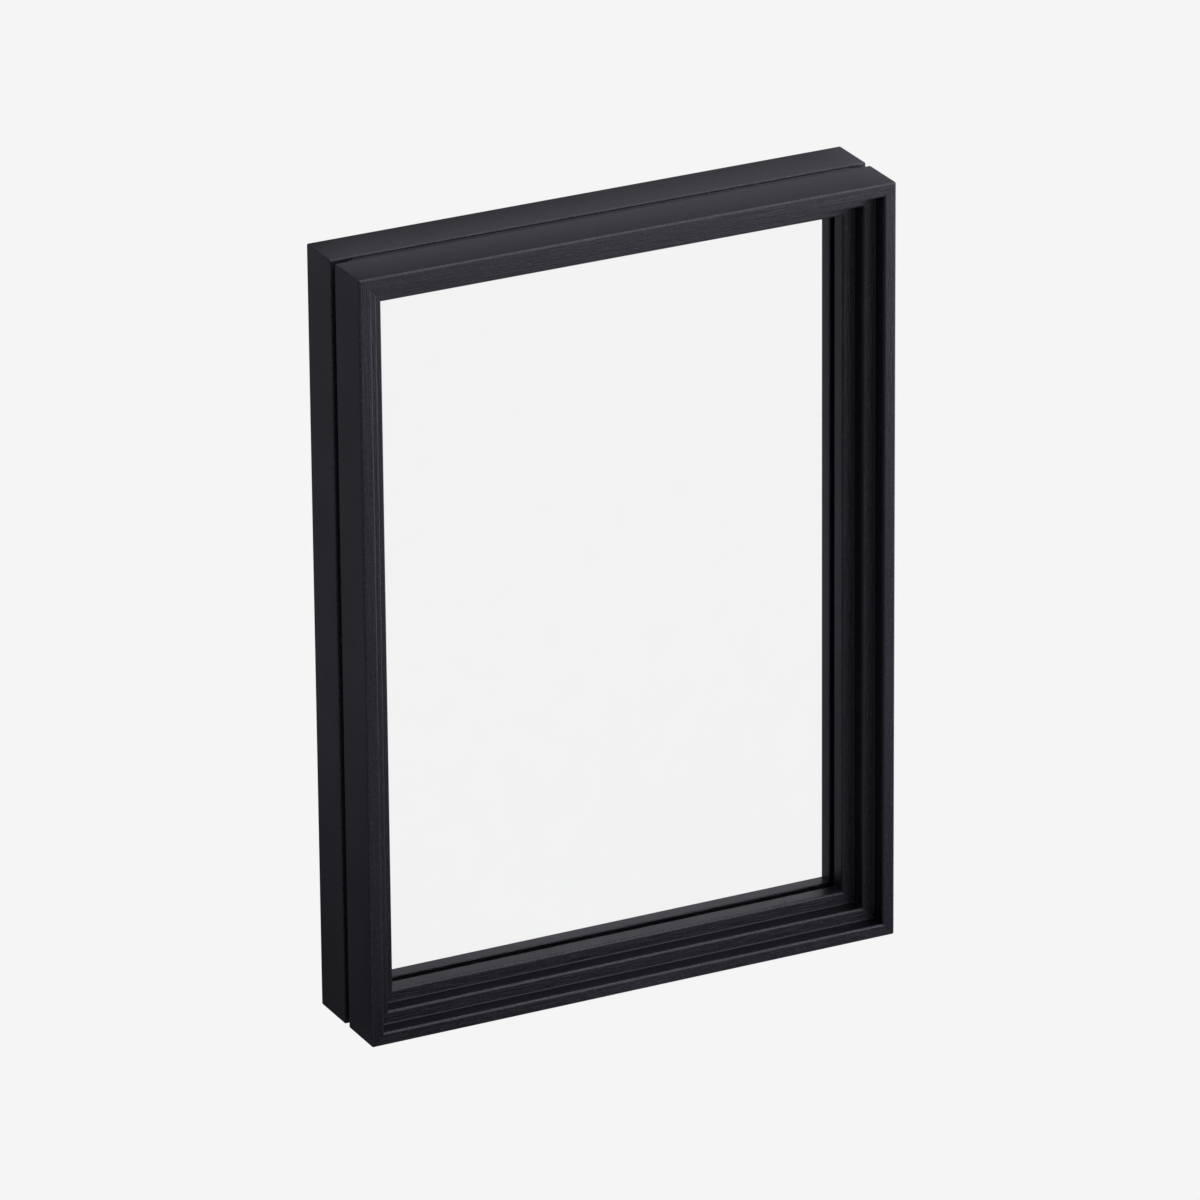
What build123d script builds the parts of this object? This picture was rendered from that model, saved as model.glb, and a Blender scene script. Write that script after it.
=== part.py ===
from build123d import *
import os

# Floating frame: two mirror-image half-frames of mitred, stepped mouldings, set back to back with an
# open groove between them. They clamp a pair of clear panes that hold a picture so that it floats.
# Millimetres. +Z is up and the front faces -Y. The origin is the middle of the footprint on the
# surface that the frame stands on.

# The whole frame
WIDTH = 130.0
HEIGHT = 180.0
HALF_DEPTH = 12.0  # of each half-frame, front to back
GROOVE = 2.2  # between the two halves, open all round the outside

# The moulding's section: steps that go down from the rim to the picture
STEPS = 3
STEP_WIDTH = 3.0  # of each step's face, towards the middle of the frame
TREAD_DEPTH = 4.0  # of each step, front to back
EDGE_RADIUS = 0.5  # of the edges that a hand meets
GROOVE_EDGE_RADIUS = 0.3  # of the outer edges beside the groove
INNER_FILLET = 0.3  # where a step's face meets the tread in front of it
PANE_EDGE_RADIUS = 0.25  # of the edge that bears on a pane
CORNER_RADIUS = 0.4  # of the frame's four outer corners

# The lip at the back of the front half's top rail, which nearly closes the groove against dust
LIP_DEPTH = 1.15
LIP_HEIGHT = 2.4
LIP_END = 3.0  # from the frame's side to where the lip starts
LIP_TAPER = 3.0  # the length over which the lip reaches its full depth
LIP_RADIUS = 0.3

# The panes
PANE_THICKNESS = 1.0
PANE_INSET = 5.0  # from the frame's outer faces to the pane's edges

# The steel pins that the panes' edges rest against, and that line the halves up
PIN_RADIUS = 1.0
PIN_SEAT = 6.0  # how deep a pin is pressed into the front half
PIN_REACH = 3.8  # how far it enters the back half
PIN_CHAMFER = 0.25
PIN_PLAY = 0.06  # between a pin and its hole in the back half, all round
PIN_END_ROOM = 0.5  # between a pin's end and the bottom of that hole
PANE_PLAY = 0.1  # between a pane's edge and a pin
RAIL_PIN_SPACING = 80.0
STILE_PIN_SPACING = 100.0

# The magnets that pull the halves together
MAGNET_RADIUS = 2.0
MAGNET_LENGTH = 3.0
MAGNET_INSET = 4.4  # from the frame's side to the magnet's axis
MAGNET_SPACING = 140.0

# The steel V-nails across the mitres, driven in flush with the mating face
NAIL_CORNER = 2.2  # from the outer faces to the nail's own corner
NAIL_LEG = 3.6
NAIL_THICKNESS = 0.5
NAIL_LENGTH = 7.5

DEPTH = 2 * HALF_DEPTH + GROOVE
RAIL_WIDTH = STEPS * STEP_WIDTH
FRONT_Y = -DEPTH / 2
MATING_Y = -GROOVE / 2  # the front half's mating face
PIN_INSET = PANE_INSET - PANE_PLAY - PIN_RADIUS
MIDDLE_Z = HEIGHT / 2

# Each side of the frame: its outer length, how far its outer face is from the frame's middle, and its
# turn about Y from the bottom rail's place.
SIDES = {
    "rail_top": (WIDTH, HEIGHT / 2, 180),
    "rail_bottom": (WIDTH, HEIGHT / 2, 0),
    "stile_left": (HEIGHT, WIDTH / 2, 90),
    "stile_right": (HEIGHT, WIDTH / 2, -90),
}
PIN_SPACING = {"rail": RAIL_PIN_SPACING, "stile": STILE_PIN_SPACING}
CORNERS = {
    "top_left": (-1, 1),
    "top_right": (1, 1),
    "bottom_left": (-1, -1),
    "bottom_right": (1, -1),
}


def on_side(side, shape):
    """Moves a shape from the drawing place, where the outer face is at Z 0 and inwards is +Z."""
    _, reach, turn = SIDES[side]
    return Pos(0, 0, MIDDLE_Z) * Rot(0, turn, 0) * Pos(0, 0, -reach) * shape


def to_back(shape):
    """Mirrors a front-half shape into the back half."""
    return mirror(shape, about=Plane.XZ)


def rounded(sketch, points, radius):
    """Rounds the corners of a sketch that lie at the given points."""
    chosen = [v for v in sketch.vertices() if (round(v.X, 3), round(v.Y, 3)) in points]
    return fillet(chosen, radius)


def section():
    """The moulding's section: first number inwards from the outer face, second back from the rim."""
    outline = [(0, 0)]
    noses = [(0, 0)]
    roots = []
    for step in range(STEPS):
        face_end = (step + 1) * STEP_WIDTH
        tread_front = step * TREAD_DEPTH
        tread_end = tread_front + TREAD_DEPTH
        outline += [(face_end, tread_front), (face_end, tread_end)]
        noses.append((face_end, tread_front))
        roots.append((face_end, tread_end))
    pane_edge = roots.pop()
    outline.append((0, HALF_DEPTH))
    shape = Polygon(*outline, align=None)
    shape = rounded(shape, noses, EDGE_RADIUS)
    shape = rounded(shape, [(0, HALF_DEPTH)], GROOVE_EDGE_RADIUS)
    shape = rounded(shape, roots, INNER_FILLET)
    return rounded(shape, [pane_edge], PANE_EDGE_RADIUS)


def mitred_bar(side):
    """One moulding of the front half, in its drawing place, with both ends mitred."""
    length, reach, _ = SIDES[side]
    start = Plane(origin=(length / 2, FRONT_Y, 0), x_dir=(0, 0, 1), z_dir=(-1, 0, 0))
    bar = extrude(start * section(), amount=length)
    half = length / 2
    inner = half - RAIL_WIDTH
    mitre = Polygon((-half, 0), (half, 0), (inner, RAIL_WIDTH), (-inner, RAIL_WIDTH), align=None)
    outline = Pos(0, reach) * RectangleRounded(length, 2 * reach, CORNER_RADIUS)
    return bar & extrude(Plane.XZ * (outline & mitre), amount=DEPTH, both=True)


def top_lip():
    """The lip that reaches back from the front half's top rail, in the drawing place."""
    root = WIDTH / 2 - LIP_END
    tip = root - LIP_TAPER
    back = MATING_Y + LIP_DEPTH
    inside = MATING_Y - GROOVE_EDGE_RADIUS  # the lip starts inside the rail, past its rounded edge
    right_end = [(root, inside), (root, MATING_Y), (tip, back)]
    left_end = [(-x, y) for x, y in reversed(right_end)]
    plan = Polygon(*right_end, *left_end, align=None)
    lip = extrude(plan, amount=LIP_HEIGHT)
    outer_back_edge = lip.edges().group_by(Axis.Z)[0].sort_by(Axis.Y)[-1]
    return fillet(outer_back_edge, LIP_RADIUS)


def pin_places(side):
    """The distances along a side of its two pins."""
    spacing = PIN_SPACING[side.split("_")[0]]
    return (-spacing / 2, spacing / 2)


def round_bar(side, along, inset, radius, front, back):
    """A round bar along Y on one side of the frame, from front to back."""
    circle = Plane(origin=(along, front, inset), z_dir=(0, 1, 0)) * Circle(radius)
    return on_side(side, extrude(circle, amount=back - front))


def pins(side):
    """The two steel pins on one side, with chamfered ends."""
    made = []
    for along in pin_places(side):
        bar = round_bar(side, along, PIN_INSET, PIN_RADIUS, MATING_Y - PIN_SEAT, GROOVE / 2 + PIN_REACH)
        made.append(chamfer(bar.edges().filter_by(GeomType.CIRCLE), PIN_CHAMFER))
    return made


def pin_holes(side, front_half):
    """The holes for a side's pins, drawn for the front half: a tight seat, or a sliding fit."""
    radius = PIN_RADIUS if front_half else PIN_RADIUS + PIN_PLAY
    depth = PIN_SEAT if front_half else PIN_REACH + PIN_END_ROOM
    return [
        round_bar(side, along, PIN_INSET, radius, MATING_Y - depth, MATING_Y) for along in pin_places(side)
    ]


def magnet(side, along):
    """One disc magnet of the front half, flush with the mating face."""
    return round_bar(side, along, MAGNET_INSET, MAGNET_RADIUS, MATING_Y - MAGNET_LENGTH, MATING_Y)


def magnets():
    """The front half's four magnets, by corner."""
    made = {}
    for corner, (across, up) in CORNERS.items():
        side = "stile_left" if across < 0 else "stile_right"
        along = across * up * MAGNET_SPACING / 2
        made[corner] = magnet(side, along)
    return made


def v_nail(corner):
    """The front half's V-nail at one corner: one leg in the rail and one in the stile."""
    across, up = CORNERS[corner]
    near = NAIL_CORNER
    inner = near + NAIL_THICKNESS
    far = near + NAIL_LEG
    legs = [(near, near), (far, near), (far, inner), (inner, inner), (inner, far), (near, far)]
    points = [(across * (WIDTH / 2 - u), MIDDLE_Z + up * (HEIGHT / 2 - v)) for u, v in legs]
    shape = Plane.XZ * Polygon(*points, align=None)
    return Pos(0, MATING_Y, 0) * extrude(shape, amount=NAIL_LENGTH, dir=(0, -1, 0))


def moulding(side, front_half, fittings):
    """One moulding with its seats cut, drawn for the front half."""
    bar = mitred_bar(side)
    if front_half and side == "rail_top":
        bar = bar + top_lip()
    bar = on_side(side, bar)
    for cutter in pin_holes(side, front_half) + fittings:
        bar = bar - cutter
    return bar


def pane():
    """The front pane, which bears on the front half."""
    plate = Box(
        WIDTH - 2 * PANE_INSET,
        PANE_THICKNESS,
        HEIGHT - 2 * PANE_INSET,
        align=(Align.CENTER, Align.MIN, Align.CENTER),
    )
    return Pos(0, MATING_Y, MIDDLE_Z) * plate


def build():
    """Every sub-part by its name."""
    nails = {corner: v_nail(corner) for corner in CORNERS}
    discs = magnets()
    fittings = list(nails.values()) + list(discs.values())
    parts = {"front_pane": pane(), "back_pane": to_back(pane())}
    for side in SIDES:
        parts["front_" + side] = moulding(side, True, fittings)
        parts["back_" + side] = to_back(moulding(side, False, fittings))
        for number, pin in enumerate(pins(side), start=1):
            parts[f"locating_pin_{side}_{number}"] = pin
    for corner in CORNERS:
        parts["front_v_nail_" + corner] = nails[corner]
        parts["back_v_nail_" + corner] = to_back(nails[corner])
        parts["front_magnet_" + corner] = discs[corner]
        parts["back_magnet_" + corner] = to_back(discs[corner])
    return parts


os.makedirs("parts", exist_ok=True)
for name, shape in build().items():
    shape.label = name
    export_step(shape, f"parts/{name}.step")
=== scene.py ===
import math

import bmesh
import bpy
from mathutils import Matrix, Vector

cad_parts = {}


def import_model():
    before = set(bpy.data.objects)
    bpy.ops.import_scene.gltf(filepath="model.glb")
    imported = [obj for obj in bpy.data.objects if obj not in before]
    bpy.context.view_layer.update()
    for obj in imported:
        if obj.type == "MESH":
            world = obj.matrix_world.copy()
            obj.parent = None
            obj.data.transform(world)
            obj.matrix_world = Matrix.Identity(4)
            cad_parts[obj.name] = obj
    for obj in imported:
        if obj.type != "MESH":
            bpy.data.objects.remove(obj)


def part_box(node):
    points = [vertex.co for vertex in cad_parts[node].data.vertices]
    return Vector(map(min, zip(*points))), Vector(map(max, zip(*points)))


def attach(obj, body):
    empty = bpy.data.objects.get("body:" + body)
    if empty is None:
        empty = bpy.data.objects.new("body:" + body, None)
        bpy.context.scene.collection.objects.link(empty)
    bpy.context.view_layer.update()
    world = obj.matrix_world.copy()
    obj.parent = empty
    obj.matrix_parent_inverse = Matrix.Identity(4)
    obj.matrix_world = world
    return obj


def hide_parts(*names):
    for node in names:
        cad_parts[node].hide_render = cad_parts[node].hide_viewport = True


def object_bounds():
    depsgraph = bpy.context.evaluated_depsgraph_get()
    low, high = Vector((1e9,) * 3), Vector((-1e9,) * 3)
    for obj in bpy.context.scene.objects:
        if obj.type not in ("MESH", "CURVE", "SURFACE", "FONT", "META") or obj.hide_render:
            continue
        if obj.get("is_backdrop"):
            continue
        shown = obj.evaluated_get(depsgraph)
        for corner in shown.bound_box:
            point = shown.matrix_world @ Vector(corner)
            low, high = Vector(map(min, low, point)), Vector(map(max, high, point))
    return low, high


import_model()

# Floating frame: the looks. Lengths are in millimetres until a mesh is made, and MM turns them into metres.
# Outer sizes and places come from the frame's own nodes.
MM = 0.001
cad_low, cad_high = (tuple(corner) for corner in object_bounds())

# ------------------------------------------------------------------ sizes, from the frame
WIDTH = (cad_high[0] - cad_low[0]) / MM
HEIGHT = (cad_high[2] - cad_low[2]) / MM
rail_low, rail_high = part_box("front_rail_bottom")
RAIL_WIDTH = (rail_high[2] - rail_low[2]) / MM
HALF_DEPTH = (rail_high[1] - rail_low[1]) / MM
FRONT_Y = rail_low[1] / MM
MATING_Y = rail_high[1] / MM  # the front half's mating face
MIDDLE_Z = HEIGHT / 2

# The moulding's section: as many steps down from the rim to the picture
STEPS = 3
STEP_WIDTH = RAIL_WIDTH / STEPS
TREAD_DEPTH = HALF_DEPTH / STEPS
EDGE_RADIUS = 0.5
GROOVE_EDGE_RADIUS = 0.3
INNER_FILLET = 0.3
PANE_EDGE_RADIUS = 0.25
CORNER_RADIUS = 0.4
ARC_PARTS = 8  # facets in a quarter turn
SUPPORT = 0.04  # how far beside a rounded edge a flat face gets a line that keeps it flat
MITRE_EASE = 0.03  # the fine V at each mitre
MITRE_RUN = 0.2  # the last stretch of a moulding, which ends in that V
END_RUNS = (0.4, 1 - MITRE_EASE / MITRE_RUN)  # where that stretch has points, as shares of it
STATIONS = 20  # stretches along the rest of a moulding

# Where the paint is lightened at its edges, partly by wear and partly as a painted highlight, from 0 for not
# at all to 1 for fully
NOSE_FADE = 0.55  # the share of a rounded edge's radius over which the wear and the painted highlight fade out
STILE_STEP_WEAR_AND_HIGHLIGHT = 0.1  # the cap on the noses of the stiles' steps, which get less of the painted highlight than the rails', as they catch less light; the rails' are lightened fully
MITRE_GLINT_BAND = 0.15  # how far beside a mitre the paint is lightened as a painted highlight, on the lower steps
# how strong that painted highlight beside the mitres is
MITRE_GLINT = 0.6
FLAT_SLACK = 0.02  # how near to a front face's depth a point counts as on it

# The lip behind the front half's top rail. Its depth comes from the rail's own box.
LIP_END = 3.0  # from the frame's side to where the lip starts
LIP_TAPER = 3.0  # the length over which the lip reaches its full depth
LIP_HEIGHT = 2.4
LIP_RADIUS = 0.3

# The seats in the mating faces
SEAT_LINE = 0.04  # the fine line round a pressed-in pin or magnet
PIN_PLAY = 0.06  # round a pin, in the back half
PIN_END_ROOM = 0.5  # between a pin's end and the bottom of its hole in the back half
NAIL_SLOT = 0.05  # the fine line round a V-nail
CUT_OVERRUN = 1.0  # how far a cutting shape sticks out of the face that it cuts

# The panes and the small metal parts
PANE_CHAMFER = 0.12
PANE_OFF_FACE = 0.03  # off the face that a pane bears on, so that the two never lie in one plane
PIN_ROUND = 0.25  # the rounded rims
MAGNET_ROUND = 0.2
ROUND_FACETS = 40  # round a pin, a magnet or a hole
RIM_PARTS = 5  # facets from a rounded rim's face to its side
NAIL_THICKNESS = 0.5
NAIL_BEND = 0.6  # the bend's radius, to the strip's middle
NAIL_BEND_PARTS = 7
NAIL_BLADE = 0.8  # the sharpened stretch
NAIL_TIP = 0.2  # the share of the thickness that is left at the blade's end

CRISP_ANGLE = math.radians(30)  # edges sharper than this aren't shaded smooth
GAP = 0.0005  # the cuts leave a few gaps narrower than this, which are closed

# Each side of the frame: its outer length, how far its outer face is from the middle, and its turn about Y
SIDES = {
    "rail_top": (WIDTH, HEIGHT / 2, 180),
    "rail_bottom": (WIDTH, HEIGHT / 2, 0),
    "stile_left": (HEIGHT, WIDTH / 2, 90),
    "stile_right": (HEIGHT, WIDTH / 2, -90),
}
CORNERS = ("top_left", "top_right", "bottom_left", "bottom_right")
HALVES = {"front": 1, "back": -1}  # the back half is the front half mirrored across the groove


# ------------------------------------------------------------------ node helpers
class Nodes:
    """A material's nodes, made and linked in short calls."""

    def __init__(self, name):
        self.material = bpy.data.materials.new(name)
        self.material.use_nodes = True
        self.tree = self.material.node_tree
        self.tree.nodes.clear()

    def add(self, kind, **settings):
        """A new node with its settings."""
        node = self.tree.nodes.new(kind)
        for key, value in settings.items():
            setattr(node, key, value)
        return node

    def link(self, source, target):
        """Joins an output to an input."""
        self.tree.links.new(source, target)

    def feed(self, node, inputs):
        """Sets or links a node's inputs, by name or number."""
        for key, value in inputs.items():
            if isinstance(value, bpy.types.NodeSocket):
                self.link(value, node.inputs[key])
            else:
                node.inputs[key].default_value = value
        return node

    def position(self, scale):
        """The place on the object, with its own scale along each axis."""
        place = self.add("ShaderNodeTexCoord").outputs["Object"]
        mapping = self.feed(self.add("ShaderNodeMapping"), {"Vector": place, "Scale": scale})
        return mapping.outputs["Vector"]

    def noise(self, vector, scale, detail=3.0, roughness=0.5):
        """A cloudy pattern between 0 and 1."""
        node = self.add("ShaderNodeTexNoise")
        self.feed(node, {"Vector": vector, "Scale": scale, "Detail": detail, "Roughness": roughness})
        return node.outputs["Fac"]

    def remap(self, value, low, high, out_low, out_high):
        """Takes the range from low to high to another range, and stops at its ends."""
        node = self.add("ShaderNodeMapRange")
        ranges = {"From Min": low, "From Max": high, "To Min": out_low, "To Max": out_high}
        return self.feed(node, {"Value": value, **ranges}).outputs["Result"]

    def math(self, operation, first, second):
        """A sum, product, difference or power of two values."""
        node = self.add("ShaderNodeMath", operation=operation)
        return self.feed(node, {0: first, 1: second}).outputs[0]

    def mix(self, factor, first, second):
        """A colour between two colours."""
        node = self.add("ShaderNodeMix", data_type="RGBA")
        return self.feed(node, {0: factor, 6: first, 7: second}).outputs[2]

    def bump(self, height, strength, distance, normal=None):
        """The surface's slope from a height pattern, on top of an earlier one if given."""
        inputs = {"Height": height, "Strength": strength, "Distance": distance}
        if normal is not None:
            inputs["Normal"] = normal
        return self.feed(self.add("ShaderNodeBump"), inputs).outputs["Normal"]

    def principled(self, **inputs):
        """The main shader. An underscore in an input's name stands for a space."""
        node = self.add("ShaderNodeBsdfPrincipled")
        named = {key.replace("_", " "): value for key, value in inputs.items()}
        return self.feed(node, named).outputs["BSDF"]

    def blend_shaders(self, factor, first, second):
        """The first shader where the factor is 0, and the second where it is 1."""
        return self.feed(self.add("ShaderNodeMixShader"), {0: factor, 1: first, 2: second}).outputs[0]

    def finish(self, shader):
        """Makes the shader the material's surface."""
        output = self.add("ShaderNodeOutputMaterial")
        self.link(shader, output.inputs["Surface"])
        return self.material


# ------------------------------------------------------------------ materials
EVEN = (1.0, 1.0, 1.0)  # a pattern's scale where it has no direction
GRAIN_ACROSS = 1000.0
GRAIN_ALONG = 70.0
PAINT_DARK = (0.0026, 0.0026, 0.0052, 1.0)
PAINT_LIGHT = (0.0056, 0.0056, 0.0096, 1.0)
PAINT_FLECK = (0.042, 0.042, 0.050, 1.0)  # specks on the sanded front
PAINT_RUBBED_AND_HIGHLIGHT = (0.080, 0.080, 0.090, 1.0)  # where the edges are worn, and lighter as a painted highlight
PANE_SHINE = 0.0085  # what one face of the coated sheet mirrors of a ray that meets it head on
STREAK_LENGTH = 15.0  # how many times longer than wide a streak in metal is
SHINE_POWER = 5.0  # how late the mirroring rises towards a slanting ray, as in Schlick's rule


def black_paint(name, along):
    """Semi-matt black paint on wood. The grain shows along the moulding, most on the stepped front. Its edges
    are lighter, partly from wear and partly as a painted highlight.
    """
    n = Nodes(name)
    stretch = [GRAIN_ACROSS] * 3
    stretch["XYZ".index(along)] = GRAIN_ALONG
    grain = n.noise(n.position(stretch), 2.4, detail=4.0, roughness=0.65)
    even = n.position(EVEN)
    orange_peel = n.noise(even, 1500.0, detail=2.0)
    speckle = n.noise(even, 3000.0, detail=2.0, roughness=0.7)
    cloud = n.noise(even, 60.0, detail=3.0)
    # the edge mask: wear, together with a painted highlight on the noses, outer corners and mitres
    wear_and_highlight = n.add("ShaderNodeAttribute", attribute_name="edge").outputs["Fac"]
    sanded = n.add("ShaderNodeAttribute", attribute_name="front").outputs["Fac"]
    rubbed_and_highlit = n.math("MULTIPLY", wear_and_highlight, n.remap(speckle, 0.42, 0.60, 0.25, 1.0))
    fleck = n.math("MULTIPLY", sanded, n.remap(speckle, 0.55, 0.70, 0.0, 1.0))
    lines = n.math("MULTIPLY", sanded, n.remap(grain, 0.35, 0.65, 0.0, 1.0))
    tone = n.math("ADD", n.math("MULTIPLY", cloud, 0.5), n.math("MULTIPLY", lines, 0.8))
    paint = n.mix(tone, PAINT_DARK, PAINT_LIGHT)
    flecked = n.mix(fleck, paint, PAINT_FLECK)
    # the edges take a lighter paint, partly as wear and partly as a painted highlight
    colour = n.mix(rubbed_and_highlit, flecked, PAINT_RUBBED_AND_HIGHLIGHT)
    matt = n.remap(cloud, 0.3, 0.7, 0.33, 0.39)
    polish = n.math("SUBTRACT", n.math("MULTIPLY", lines, 0.06), n.math("MULTIPLY", wear_and_highlight, 0.22))
    roughness = n.math("SUBTRACT", matt, polish)
    relief = n.math("ADD", n.math("MULTIPLY", grain, 0.25), n.math("MULTIPLY", lines, 0.75))
    normal = n.bump(orange_peel, 0.16, 0.00006)
    normal = n.bump(speckle, 0.18, 0.00005, normal)
    normal = n.bump(relief, 0.45, 0.00014, normal)
    shader = n.principled(Base_Color=colour, Roughness=roughness, Normal=normal, IOR=1.5)
    return n.finish(shader)


def clear_acrylic():
    """Acrylic with a low-reflection coating: clear, and it mirrors only a little, more so at a slant."""
    n = Nodes("clear_acrylic")
    film = n.noise(n.position(EVEN), 120.0, detail=4.0)
    smear = n.noise(n.position((260.0, 260.0, 40.0)), 1.0, detail=3.0)
    tint = n.mix(n.remap(film, 0.3, 0.7, 0.0, 1.0), (0.997, 0.998, 0.998, 1.0), (1.0, 1.0, 1.0, 1.0))
    clear = n.feed(n.add("ShaderNodeBsdfTransparent"), {"Color": tint}).outputs[0]
    polish = n.remap(smear, 0.3, 0.8, 0.015, 0.05)
    gloss = {"Roughness": polish, "Color": (0.97, 0.97, 0.98, 1.0)}
    shine = n.feed(n.add("ShaderNodeBsdfGlossy"), gloss).outputs[0]
    slant = n.feed(n.add("ShaderNodeLayerWeight"), {"Blend": 0.5}).outputs["Facing"]
    mirrored = n.remap(n.math("POWER", slant, SHINE_POWER), 0.0, 1.0, PANE_SHINE, 1.0)
    return n.finish(n.blend_shaders(mirrored, clear, shine))


def acrylic_edge():
    """The sheet's sawn and scraped edge, frosted with fine lines along it."""
    n = Nodes("acrylic_edge")
    lines = n.noise(n.position((300.0, 9000.0, 300.0)), 1.0, detail=3.0)
    frost = n.noise(n.position(EVEN), 2600.0, detail=2.0)
    colour = n.mix(lines, (0.16, 0.19, 0.19, 1.0), (0.30, 0.34, 0.34, 1.0))
    rough = n.remap(frost, 0.3, 0.7, 0.25, 0.5)
    normal = n.bump(lines, 0.3, 0.00008)
    shader = n.principled(Base_Color=colour, Roughness=rough, Normal=normal, IOR=1.49)
    return n.finish(shader)


def metal(name, light, dark, roughness, streak, direction):
    """Bare or plated metal with fine streaks along one axis."""
    n = Nodes(name)
    stretch = [streak] * 3
    stretch["XYZ".index(direction)] = streak / STREAK_LENGTH
    lines = n.noise(n.position(stretch), 1.0, detail=4.0, roughness=0.6)
    patches = n.noise(n.position(EVEN), 700.0, detail=3.0)
    colour = n.mix(n.remap(patches, 0.35, 0.65, 0.0, 1.0), dark, light)
    rough = n.remap(lines, 0.3, 0.7, roughness * 0.75, roughness * 1.3)
    normal = n.bump(lines, 0.25, 0.00003)
    shader = n.principled(Base_Color=colour, Roughness=rough, Normal=normal, Metallic=1.0)
    return n.finish(shader)


PAINT = {
    "rail": black_paint("black_paint_rail", "X"),
    "stile": black_paint("black_paint_stile", "Z"),
}
CLEAR = clear_acrylic()
CUT_EDGE = acrylic_edge()
NICKEL = metal("nickel_plate", (0.74, 0.71, 0.66, 1.0), (0.62, 0.59, 0.54, 1.0), 0.16, 5000.0, "X")
ZINC = metal("zinc_coat", (0.60, 0.62, 0.65, 1.0), (0.42, 0.44, 0.47, 1.0), 0.38, 6000.0, "Z")
STEEL = metal("ground_steel", (0.66, 0.66, 0.67, 1.0), (0.52, 0.52, 0.54, 1.0), 0.22, 9000.0, "Y")


# ------------------------------------------------------------------ mesh helpers
def box(node):
    """A node's box in millimetres, as its low and high corners."""
    return tuple(Vector(corner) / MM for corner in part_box(node))


def edit(mesh, *steps):
    """Runs steps on a mesh, each a function of its BMesh."""
    edited = bmesh.new()
    edited.from_mesh(mesh)
    for step in steps:
        step(edited)
    edited.to_mesh(mesh)
    edited.free()


def face_outwards(edited):
    """Turns every face's front outwards."""
    bmesh.ops.recalc_face_normals(edited, faces=edited.faces)


def split_flat(edited):
    """Splits the faces into triangles, which are always flat."""
    bmesh.ops.triangulate(edited, faces=edited.faces)


def close_gaps(edited):
    """Closes the slivers that a cut leaves open where a point lies on a longer edge."""
    open_edges = [edge for edge in edited.edges if edge.is_boundary]
    bmesh.ops.holes_fill(edited, edges=open_edges, sides=3)
    bmesh.ops.dissolve_degenerate(edited, dist=GAP, edges=edited.edges)


def skin(rings, count):
    """The faces that join rings of points, each ring to the next and closed round."""
    faces = []
    for ring in range(rings - 1):
        for k in range(count):
            a = ring * count + k
            b = ring * count + (k + 1) % count
            faces.append((a, b, b + count, a + count))
    return faces


def capped_skin(rings, count):
    """The same, with a face over the first ring and one over the last."""
    caps = [tuple(range(count)), tuple(range((rings - 1) * count, rings * count))]
    return skin(rings, count) + caps


def make_piece(name, points, faces, body, nodes, materials, face_material=None):
    """A mesh piece from points in millimetres, on its body, standing for its CAD nodes."""
    mesh = bpy.data.meshes.new(name)
    mesh.from_pydata([tuple(c * MM for c in p) for p in points], [], faces)
    piece = bpy.data.objects.new(name, mesh)
    bpy.context.scene.collection.objects.link(piece)
    edit(mesh, face_outwards)
    for material in materials:
        mesh.materials.append(material)
    for polygon in mesh.polygons:
        polygon.use_smooth = True
        if face_material is not None:
            polygon.material_index = face_material(polygon)
    mesh.set_sharp_from_angle(angle=CRISP_ANGLE)
    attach(piece, body)
    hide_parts(*nodes)
    return piece


def make_cutter(points, faces):
    """An object to cut with, in millimetres."""
    mesh = bpy.data.meshes.new("cutter")
    mesh.from_pydata(points, [], faces)
    edit(mesh, face_outwards, split_flat)
    cutter = bpy.data.objects.new("cutter", mesh)
    bpy.context.scene.collection.objects.link(cutter)
    return cutter


def cut(piece, shapes):
    """Takes shapes, each (points in millimetres, faces), out of a piece's mesh.

    It works in millimetres and on flat faces, because the solver leaves more edges open otherwise.
    """
    whole = piece.data
    whole.transform(Matrix.Scale(1 / MM, 4))
    edit(whole, split_flat)
    cutters = [make_cutter(points, faces) for points, faces in shapes]
    for cutter in cutters:
        taking = piece.modifiers.new("cut", "BOOLEAN")
        taking.operation = "DIFFERENCE"
        taking.solver = "EXACT"
        taking.object = cutter
    depsgraph = bpy.context.evaluated_depsgraph_get()
    result = bpy.data.meshes.new_from_object(piece.evaluated_get(depsgraph), depsgraph=depsgraph)
    piece.modifiers.clear()
    piece.data = result
    bpy.data.meshes.remove(whole)
    for cutter in cutters:
        mesh = cutter.data
        bpy.data.objects.remove(cutter)
        bpy.data.meshes.remove(mesh)
    edit(result, close_gaps)
    result.transform(Matrix.Scale(MM, 4))
    result.set_sharp_from_angle(angle=CRISP_ANGLE)


def turned(outline, middle):
    """Points and faces of a round piece about a line along Y. The outline is (radius, y), end to end."""
    points = []
    for radius, y in outline:
        for k in range(ROUND_FACETS):
            angle = 2 * math.pi * k / ROUND_FACETS
            x = middle[0] + radius * math.cos(angle)
            z = middle[1] + radius * math.sin(angle)
            points.append((x, y, z))
    return points, capped_skin(len(outline), ROUND_FACETS)


# ------------------------------------------------------------------ the moulding
def section_corners():
    """The section's corners with their radii: inwards from the outer face, and back from the rim."""
    corners = [(0.0, 0.0, EDGE_RADIUS)]
    for step in range(STEPS):
        inwards = (step + 1) * STEP_WIDTH
        front = step * TREAD_DEPTH
        last = step == STEPS - 1
        corners.append((inwards, front, EDGE_RADIUS))
        corners.append((inwards, front + TREAD_DEPTH, PANE_EDGE_RADIUS if last else INNER_FILLET))
    corners.append((0.0, HALF_DEPTH, GROOVE_EDGE_RADIUS))
    return corners


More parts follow.
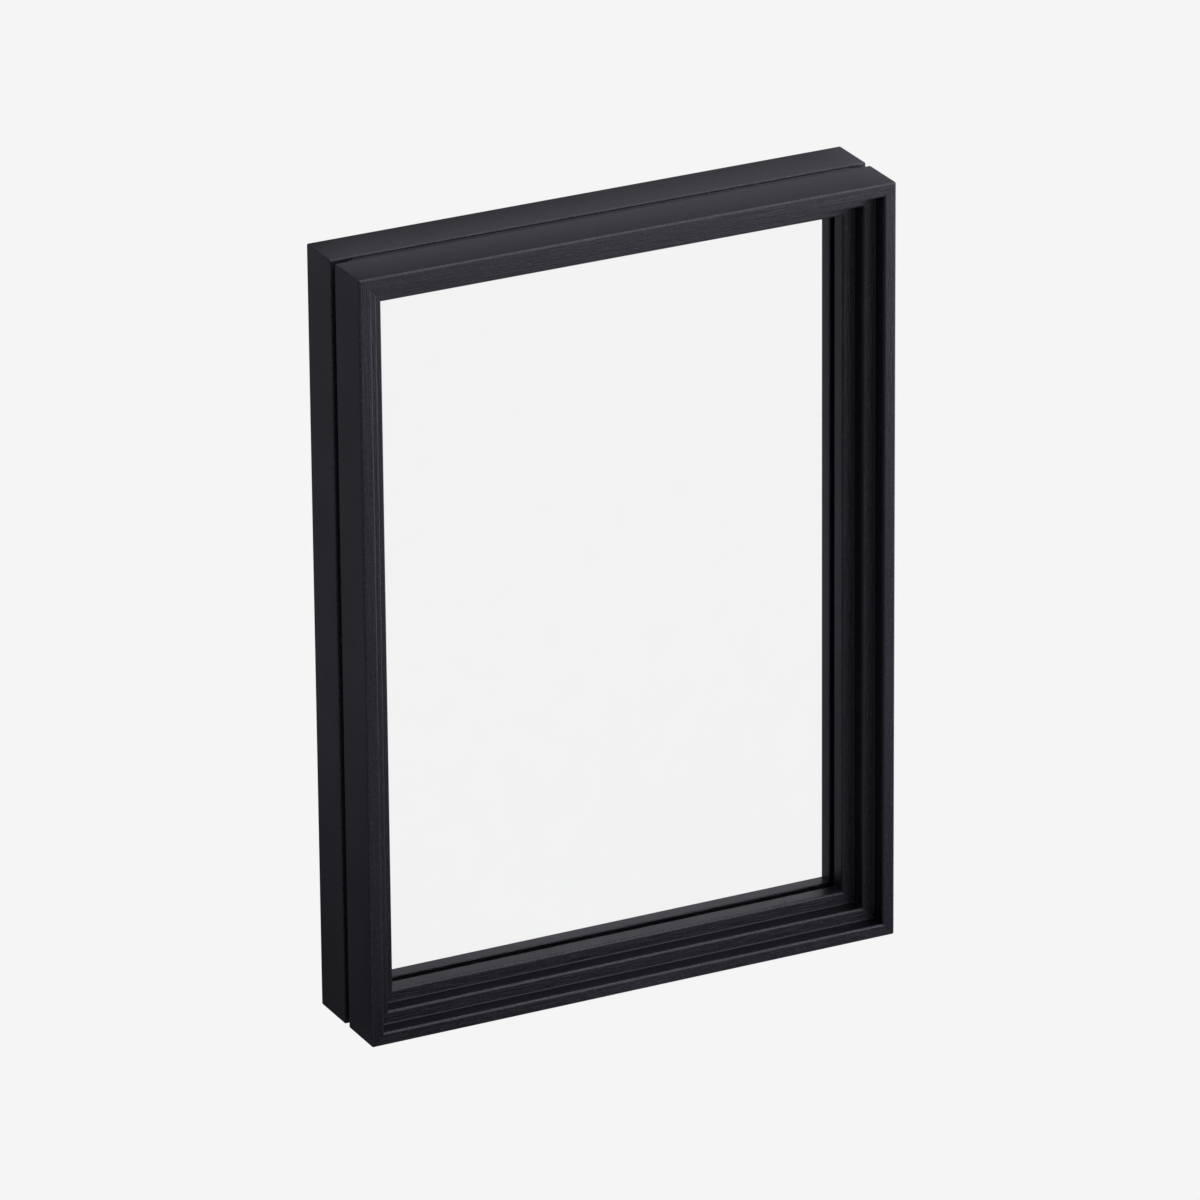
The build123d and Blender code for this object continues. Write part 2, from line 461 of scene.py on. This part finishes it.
def section():
    """The section's outline as (place, inward normal) pairs, with arcs and the lines that keep flats flat."""
    corners = section_corners()
    outline = []
    for i, (a, d, radius) in enumerate(corners):
        here = Vector((a, d))
        before = Vector(corners[i - 1][:2])
        after = Vector(corners[(i + 1) % len(corners)][:2])
        to_before = (before - here).normalized()
        to_after = (after - here).normalized()
        centre = here + radius * (to_before + to_after)
        turn = to_before.cross(to_after)
        outwards = 1.0 if turn < 0 else -1.0  # a step's root curves the other way from its nose
        outline.append((here + to_before * (radius + SUPPORT), to_after * outwards))
        for k in range(ARC_PARTS + 1):
            angle = math.pi / 2 * k / ARC_PARTS
            ray = math.cos(angle) * to_after + math.sin(angle) * to_before
            outline.append((centre - radius * ray, ray * outwards))
        outline.append((here + to_after * (radius + SUPPORT), to_before * outwards))
    return outline


def end_point(half, inwards, run):
    """A place near a moulding's right end. Run goes from 0, short of the mitre, to 1, on it."""
    if inwards >= CORNER_RADIUS:
        return half - inwards - MITRE_RUN * (1 - run), inwards
    radius = CORNER_RADIUS - inwards
    angle = math.pi / 4 * run
    return half - CORNER_RADIUS + radius * math.sin(angle), CORNER_RADIUS - radius * math.cos(angle)


def moulding_rings(length):
    """The moulding's outline at each station, as rings of points with the outer face at Z 0."""
    half = length / 2
    outline = section()
    rings = []

    def ring(place_x, inset):
        points = []
        for place, normal in outline:
            a, d = place + normal * inset
            x, z = place_x(a)
            points.append((x, FRONT_Y + d, z))
        rings.append(points)

    def at_end(sign, run):
        def place(a):
            x, z = end_point(half, a, run)
            return sign * x, z

        return place

    def along(share):
        def place(a):
            x, _ = end_point(half, a, 0.0)
            return share * x, a

        return place

    ring(at_end(-1, 1.0), MITRE_EASE)
    for run in reversed(END_RUNS):
        ring(at_end(-1, run), 0.0)
    for k in range(STATIONS + 1):
        ring(along(2 * k / STATIONS - 1), 0.0)
    for run in END_RUNS:
        ring(at_end(1, run), 0.0)
    ring(at_end(1, 1.0), MITRE_EASE)
    return rings


def in_place(side, half_sign, points):
    """Turns points from the drawing place to a side of the front or the back half."""
    _, reach, turn = SIDES[side]
    matrix = (
        Matrix.Translation((0, 0, MIDDLE_Z))
        @ Matrix.Rotation(math.radians(turn), 4, "Y")
        @ Matrix.Translation((0, 0, -reach))
    )
    placed = [matrix @ Vector(p) for p in points]
    return [(p.x, p.y * half_sign, p.z) for p in placed]


def wear_and_highlight_at(side, along, inwards, back, noses):
    """How much the paint is lightened at a place on a moulding, from 0 to 1: wear, together with a painted
    highlight on the noses, outer corners and mitres.
    """
    half_length = SIDES[side][0] / 2
    distance = min((Vector((inwards, back)) - nose).length for nose in noses)
    # along the noses: wear and a painted highlight
    nose_wear_and_highlight = (EDGE_RADIUS - distance) / (EDGE_RADIUS * NOSE_FADE)
    # the stiles' step noses get less painted highlight, as they catch less light
    if side.startswith("stile") and inwards > STEP_WIDTH / 2:
        nose_wear_and_highlight = min(nose_wear_and_highlight, STILE_STEP_WEAR_AND_HIGHLIGHT)
    # round the outer corners: wear and a painted highlight
    corner_wear_and_highlight = (CORNER_RADIUS - inwards - half_length + abs(along)) / CORNER_RADIUS
    to_mitre = half_length - abs(along) - inwards
    # a painted highlight beside each mitre, on the lower steps
    mitre_glint = MITRE_GLINT if to_mitre < MITRE_GLINT_BAND and inwards > STEP_WIDTH else 0.0
    return max(0.0, min(1.0, max(nose_wear_and_highlight, corner_wear_and_highlight, mitre_glint)))


def surface_masks(piece, side, half_sign):
    """Writes two attributes: how much the paint is lightened by wear and painted highlight, and whether a
    point is on the stepped front.
    """
    _, reach, turn = SIDES[side]
    to_drawing = (
        Matrix.Translation((0, 0, reach))
        @ Matrix.Rotation(-math.radians(turn), 4, "Y")
        @ Matrix.Translation((0, 0, -MIDDLE_Z))
    )
    roots = [(STEP_WIDTH * (s + 1), TREAD_DEPTH * (s + 1)) for s in range(STEPS)]
    noses = [Vector(c[:2]) for c in section_corners() if tuple(c[:2]) not in roots]
    fronts = [step * TREAD_DEPTH for step in range(STEPS)]
    edge = []
    front = []
    for vertex in piece.data.vertices:
        x, y, z = vertex.co / MM
        local = to_drawing @ Vector((x, y * half_sign, z))
        back = local.y - FRONT_Y
        edge.append(wear_and_highlight_at(side, local.x, local.z, back, noses))
        front.append(1.0 if min(abs(back - depth) for depth in fronts) < FLAT_SLACK else 0.0)
    attributes = piece.data.attributes
    # the edge attribute holds wear and painted highlight together
    attributes.new("edge", "FLOAT", "POINT").data.foreach_set("value", edge)
    attributes.new("front", "FLOAT", "POINT").data.foreach_set("value", front)


def bore(node, wider, mating_y, bottom_y):
    """The shape of a round hole about a node's axis, from past the mating face to its bottom."""
    low, high = box(node)
    radius = (high.x - low.x) / 2 + wider
    overrun = CUT_OVERRUN if mating_y > bottom_y else -CUT_OVERRUN
    outline = [(radius, bottom_y), (radius, mating_y + overrun)]
    return turned(outline, ((low.x + high.x) / 2, (low.z + high.z) / 2))


def seats(half_name, side):
    """The holes and slots in a moulding for its pins, magnets and V-nails."""
    sign = HALVES[half_name]
    mating_y = MATING_Y * sign
    shapes = []
    for number in (1, 2):
        node = f"locating_pin_{side}_{number}"
        low, high = box(node)
        if half_name == "front":
            shapes.append(bore(node, SEAT_LINE, mating_y, low.y - SEAT_LINE))
        else:
            shapes.append(bore(node, PIN_PLAY, mating_y, high.y + PIN_END_ROOM))
    kind, place = side.split("_")
    for corner in CORNERS:
        vertical, across = corner.split("_")
        if place not in (vertical, across):
            continue
        if kind == "stile":
            node = f"{half_name}_magnet_{corner}"
            low, high = box(node)
            bottom_y = low.y if half_name == "front" else high.y
            shapes.append(bore(node, SEAT_LINE, mating_y, bottom_y - sign * SEAT_LINE))
        node = f"{half_name}_v_nail_{corner}"
        shapes.append(nail_shape(node, half_name, NAIL_SLOT, CUT_OVERRUN))
    return shapes


def moulding(half_name, side):
    """One mitred moulding, with its seats cut and its wear masks."""
    half_sign = HALVES[half_name]
    rings = moulding_rings(SIDES[side][0])
    count = len(rings[0])
    points = [p for ring in rings for p in ring]
    name = f"{half_name}_{side}"
    kind = side.split("_")[0]
    piece = make_piece(
        name + "_moulding",
        in_place(side, half_sign, points),
        capped_skin(len(rings), count),
        half_name + "_half",
        [name],
        [PAINT[kind]],
    )
    cut(piece, seats(half_name, side))
    surface_masks(piece, side, half_sign)


# ------------------------------------------------------------------ the lip over the groove
def groove_lip():
    """The lip behind the front half's top rail, which nearly closes the groove on top."""
    _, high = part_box("front_rail_top")
    depth = high[1] / MM - MATING_Y
    root = WIDTH / 2 - LIP_END
    tip = root - LIP_TAPER
    inside = MATING_Y - GROOVE_EDGE_RADIUS  # the lip starts inside the rail, past its rounded edge
    arc = []
    for k in range(ARC_PARTS // 2 + 1):
        angle = math.pi / 2 * k / (ARC_PARTS // 2)
        arc.append((LIP_RADIUS * (1 - math.sin(angle)), LIP_RADIUS * (1 - math.cos(angle))))
    # going round, as (back from the mating face, down from the top)
    outline = [(inside - MATING_Y, 0.0), (0.0, 0.0)]
    outline += [(depth - b, c) for b, c in arc]
    outline += [(depth, LIP_HEIGHT), (0.0, LIP_HEIGHT), (inside - MATING_Y, LIP_HEIGHT)]
    points = []
    for x_side in (-1, 1):
        for y, down in outline:
            reach = root - (root - tip) * max(0.0, y) / depth
            points.append((x_side * reach, MATING_Y + y, HEIGHT - down))
    count = len(outline)
    make_piece(
        "front_rail_top_lip",
        points,
        capped_skin(2, count),
        "front_half",
        ["front_rail_top"],
        [PAINT["rail"]],
    )


# ------------------------------------------------------------------ panes, pins, magnets, nails
def pane(half_name):
    """A clear sheet with chamfered, frosted edges."""
    name = half_name + "_pane"
    low, high = ([c / MM for c in corner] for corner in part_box(name))
    if half_name == "front":
        low[1] += PANE_OFF_FACE
    else:
        high[1] -= PANE_OFF_FACE
    rings = []
    for y, inset in (
        (low[1], PANE_CHAMFER),
        (low[1] + PANE_CHAMFER, 0.0),
        (high[1] - PANE_CHAMFER, 0.0),
        (high[1], PANE_CHAMFER),
    ):
        x0, x1, z0, z1 = low[0] + inset, high[0] - inset, low[2] + inset, high[2] - inset
        rings.append([(x0, y, z0), (x1, y, z0), (x1, y, z1), (x0, y, z1)])
    points = [p for ring in rings for p in ring]
    sheets = [(0, 1, 2, 3), (12, 13, 14, 15)]
    piece = make_piece(
        name + "_sheet",
        points,
        sheets + skin(len(rings), 4),
        half_name + "_half",
        [name],
        [CLEAR, CUT_EDGE],
        lambda polygon: 0 if polygon.index < len(sheets) else 1,
    )
    for polygon in piece.data.polygons:
        polygon.use_smooth = False


def round_piece(node, end_round, body, material, suffix):
    """A round bar or disc along Y, with rounded rims, in its CAD node's place."""
    low, high = box(node)
    radius = (high.x - low.x) / 2
    middle = ((low.x + high.x) / 2, (low.z + high.z) / 2)
    outline = []
    for k in range(RIM_PARTS + 1):
        angle = math.pi / 2 * k / RIM_PARTS
        inwards = end_round * (1 - math.sin(angle))
        back = end_round * (1 - math.cos(angle))
        outline.append((radius - inwards, low.y + back))
    outline += [(r, low.y + high.y - y) for r, y in reversed(outline)]
    points, faces = turned(outline, middle)
    make_piece(node + suffix, points, faces, body, [node], [material])


def nail_shape(node, half_name, wider, taller):
    """A bent strip with a sharpened leading edge. It can be drawn wider and taller, to cut its own slot."""
    low, high = box(node)
    across = 1 if low.x > 0 else -1
    up = 1 if low.z > MIDDLE_Z else -1
    thick = NAIL_THICKNESS
    leg = high.x - low.x
    corner_x = high.x if across > 0 else low.x
    corner_z = high.z if up > 0 else low.z
    # the strip's middle line from one leg's end, round the bend, to the other's, with its normals
    line = [(leg + wider, thick / 2, Vector((0, 1)))]
    for k in range(NAIL_BEND_PARTS + 1):
        angle = math.pi / 2 * k / NAIL_BEND_PARTS
        normal = Vector((math.sin(angle), math.cos(angle)))
        centre = Vector((thick / 2 + NAIL_BEND, thick / 2 + NAIL_BEND))
        place = centre - NAIL_BEND * normal
        line.append((place.x, place.y, normal))
    line.append((thick / 2, leg + wider, Vector((1, 0))))
    # from the mating face to the blade's end, as (place along Y, share of the thickness)
    if half_name == "front":
        levels = [(high.y + taller, 1.0), (low.y + NAIL_BLADE, 1.0), (low.y - wider, NAIL_TIP)]
    else:
        levels = [(low.y - taller, 1.0), (high.y - NAIL_BLADE, 1.0), (high.y + wider, NAIL_TIP)]
    points = []
    for y, share in levels:
        for sign in (-1, 1):
            for u, v, normal in line:
                place = Vector((u, v)) + normal * (sign * (thick / 2 * share + wider))
                points.append((corner_x - across * place.x, y, corner_z - up * place.y))
    n = len(line)
    loop = list(range(n)) + list(range(2 * n - 1, n - 1, -1))
    faces = []
    for level in range(2):
        for k in range(len(loop)):
            a = loop[k] + level * 2 * n
            b = loop[(k + 1) % len(loop)] + level * 2 * n
            faces.append((a, b, b + 2 * n, a + 2 * n))
    for base in (0, 4 * n):
        for k in range(n - 1):
            faces.append((base + k, base + k + 1, base + n + k + 1, base + n + k))
    return points, faces


def v_nail(node, half_name):
    """One V-nail."""
    points, faces = nail_shape(node, half_name, 0.0, 0.0)
    body = half_name + "_half"
    make_piece(node + "_strip", points, faces, body, [node], [ZINC])


for half_name in HALVES:
    for side in SIDES:
        moulding(half_name, side)
    pane(half_name)
    for corner in CORNERS:
        node = f"{half_name}_magnet_{corner}"
        body = half_name + "_half"
        round_piece(node, MAGNET_ROUND, body, NICKEL, "_disc")
        v_nail(f"{half_name}_v_nail_{corner}", half_name)
groove_lip()
for side in SIDES:
    for number in (1, 2):
        node = f"locating_pin_{side}_{number}"
        round_piece(node, PIN_ROUND, "front_half", STEEL, "_pin")


# ------------------------------------------------------------------ camera
CAMERA_AZIMUTH = -26.58  # degrees round from the front
CAMERA_ELEVATION = 22.55  # degrees up
CAMERA_ROLL = -0.50
CAMERA_DISTANCE = 2272.8
CAMERA_LENS = 310.14  # for a 36 mm sensor
AIM_RIGHT = -1.48  # of the frame's middle, in the picture
AIM_UP = -0.81


def camera():
    """The camera at the photograph's viewing angle."""
    azimuth = math.radians(CAMERA_AZIMUTH)
    elevation = math.radians(CAMERA_ELEVATION)
    level = math.cos(elevation)
    back = Vector((math.sin(azimuth) * level, -math.cos(azimuth) * level, math.sin(elevation)))
    turn = back.to_track_quat("Z", "Y").to_matrix() @ Matrix.Rotation(math.radians(CAMERA_ROLL), 3, "Z")
    middle = Vector((0, 0, MIDDLE_Z))
    aim = middle + turn.col[0] * AIM_RIGHT + turn.col[1] * AIM_UP
    data = bpy.data.cameras.new("camera")
    data.lens = CAMERA_LENS
    data.clip_start = 0.05
    data.clip_end = 50.0
    obj = bpy.data.objects.new("camera", data)
    obj.matrix_world = Matrix.Translation((aim + back * CAMERA_DISTANCE) * MM) @ turn.to_4x4()
    bpy.context.scene.collection.objects.link(obj)
    bpy.context.scene.camera = obj


camera()


# ------------------------------------------------------------------ floor and light
BACKGROUND = 0.9131  # the pale grey of the paper, as linear light
TENT_RADIUS = 0.6  # metres
TENT_COLOUR = (0.955, 0.957, 1.060, 1.0)
FLOOR_COLOUR = (0.925, 0.930, 1.130, 1.0)
# The light tables began as a fit to the photograph's tones, and were then changed one by one.
# How bright the light tent is: by degrees up, then every 45 degrees round from the front, by the right
TENT_GLOW = {
    7.5: (0.50, 3.10, 2.00, 1.50, 1.08, 0.05, 0.35, 0.25),
    25.0: (0.06, 1.40, 0.95, 0.62, 0.08, 0.08, 0.10, 0.10),
    47.5: (0.00, 2.60, 1.20, 0.00, 0.00, 0.00, 0.00, 0.00),
    75.0: (1.15, 1.15, 1.35, 1.50, 1.55, 1.50, 1.35, 1.15),
}
# How bright the paper floor is in the object's gloss: by metres from the middle, then round in the same way
FLOOR_GLOW = {
    0.07: (0.36, 0.25, 0.20, 0.19, 0.15, 0.09, 0.08, 0.20),
    0.21: (0.46, 0.40, 0.90, 0.60, 0.34, 0.16, 0.08, 0.10),
    0.45: (0.28, 0.64, 0.60, 0.42, 0.22, 0.12, 0.26, 0.06),
}
TENT_ROWS = (0, 7.5, 16, 25, 32, 40, 47.5, 56, 66, 75, 82, 88)  # degrees up
FLOOR_ROWS = (3.0, 0.6, 0.5, 0.4, 0.3, 0.25, 0.2, 0.15, 0.1, 0.05, 0.01)  # metres from the middle
ROUND_PARTS = 64  # points in each row


def blend(values, place):
    """A value part-way between two neighbours. The place is in steps, and a ring goes round."""
    low = math.floor(place)
    share = place - low
    return values[low % len(values)] * (1 - share) + values[(low + 1) % len(values)] * share


def glow_at(table, level, turn):
    """The table's value at a level, at a turn in degrees from the front by the right."""
    levels = sorted(table)
    place = turn / 360 * len(table[levels[0]])
    if level <= levels[0]:
        return blend(table[levels[0]], place)
    for low, high in zip(levels, levels[1:]):
        if level <= high:
            share = (level - low) / (high - low)
            return blend(table[low], place) * (1 - share) + blend(table[high], place) * share
    return blend(table[levels[-1]], place)


def stage_mesh(name, rows):
    """A stage mesh in metres from rows of (radius, height, glow by turn), each going once round."""
    points = []
    glows = []
    for radius, height, glow in rows:
        for k in range(ROUND_PARTS):
            turn = 360 * k / ROUND_PARTS
            angle = math.radians(turn)
            points.append((radius * math.sin(angle), -radius * math.cos(angle), height))
            glows.append(glow(turn))
    last_row = tuple(range(len(points) - ROUND_PARTS, len(points)))
    faces = skin(len(rows), ROUND_PARTS) + [last_row]
    mesh = bpy.data.meshes.new(name)
    mesh.from_pydata(points, [], faces)
    mesh.attributes.new("glow", "FLOAT", "POINT").data.foreach_set("value", glows)
    obj = bpy.data.objects.new(name, mesh)
    bpy.context.scene.collection.objects.link(obj)
    obj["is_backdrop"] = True
    return obj


def glowing(n, colour):
    """The studio's own light: an emission as strong as the mesh's glow says."""
    strength = n.add("ShaderNodeAttribute", attribute_name="glow").outputs["Fac"]
    return n.feed(n.add("ShaderNodeEmission"), {"Color": colour, "Strength": strength}).outputs[0]


def floor():
    """Pale paper. The camera sees it as one even tone, as in the photograph."""
    rows = [(r, 0.0, lambda turn, r=r: glow_at(FLOOR_GLOW, r, turn)) for r in FLOOR_ROWS]
    obj = stage_mesh("floor", rows)
    n = Nodes("paper_floor")
    fibre = n.noise(n.position(EVEN), 300.0, detail=3.0)
    pale = n.mix(fibre, (0.998, 0.998, 0.998, 1.0), (1.002, 1.002, 1.002, 1.0))
    paper = n.feed(n.add("ShaderNodeEmission"), {"Color": pale, "Strength": BACKGROUND}).outputs[0]
    rays = n.add("ShaderNodeLightPath")
    seen = n.blend_shaders(rays.outputs["Is Camera Ray"], glowing(n, FLOOR_COLOUR), paper)
    obj.data.materials.append(n.finish(seen))


def tent():
    """A translucent light tent round the frame, which the camera looks through."""
    rows = []
    for level in TENT_ROWS:
        radius = TENT_RADIUS * math.cos(math.radians(level))
        height = TENT_RADIUS * math.sin(math.radians(level))
        rows.append((radius, height, lambda turn, level=level: glow_at(TENT_GLOW, level, turn)))
    obj = stage_mesh("light_tent", rows)
    obj.visible_camera = False
    n = Nodes("tent_cloth")
    obj.data.materials.append(n.finish(glowing(n, TENT_COLOUR)))


def world():
    """Beyond the floor the camera sees the same pale tone."""
    shell = bpy.data.worlds.new("studio")
    shell.use_nodes = True
    room = shell.node_tree.nodes["Background"]
    room.inputs["Color"].default_value = (1, 1, 1, 1)
    room.inputs["Strength"].default_value = BACKGROUND
    bpy.context.scene.world = shell


floor()
tent()
world()
bpy.context.scene.view_settings.view_transform = "Standard"
